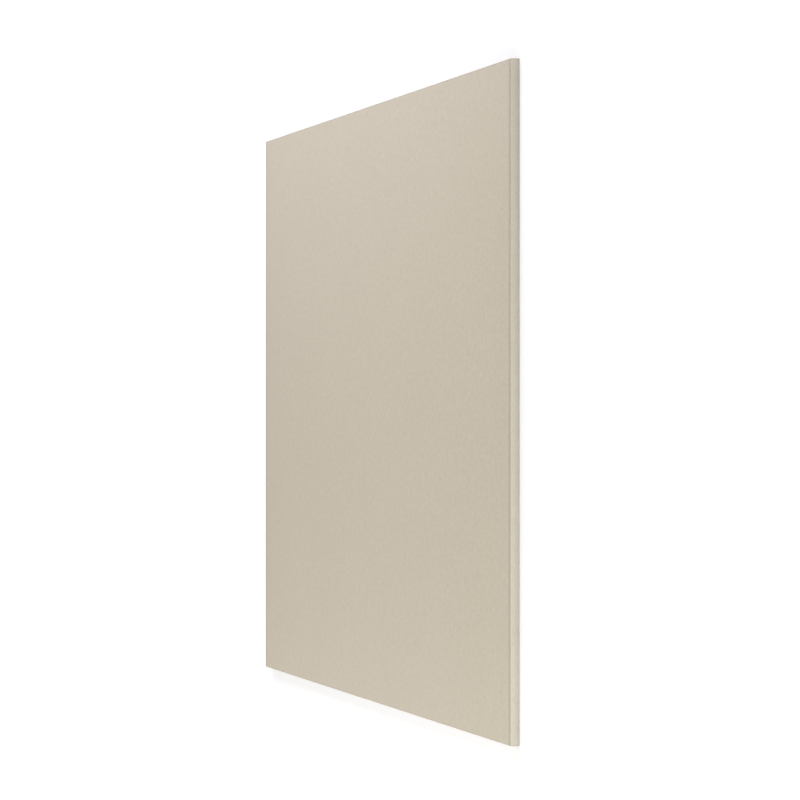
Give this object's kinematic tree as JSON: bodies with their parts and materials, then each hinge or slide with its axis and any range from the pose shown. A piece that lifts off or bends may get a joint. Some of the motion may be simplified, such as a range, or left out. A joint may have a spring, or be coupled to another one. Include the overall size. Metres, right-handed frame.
{
  "type": "drywall sheet",
  "caption": "Flat rectangular gypsum board faced in ivory paper, with square paper-bound long edges and sawn ends, for lining walls and ceilings.",
  "frame": {"origin": "middle of the back, on the surface that the sheet lies on", "axes": "+X along the sheet's length, +Y across its width, +Z out of its face"},
  "size_m": [1.8, 0.9, 0.0125],
  "materials": {
    "board_paper": "matte"
  },
  "bodies": {
    "root": {"drywall_sheet": "board_paper"}
  },
  "joints": []
}
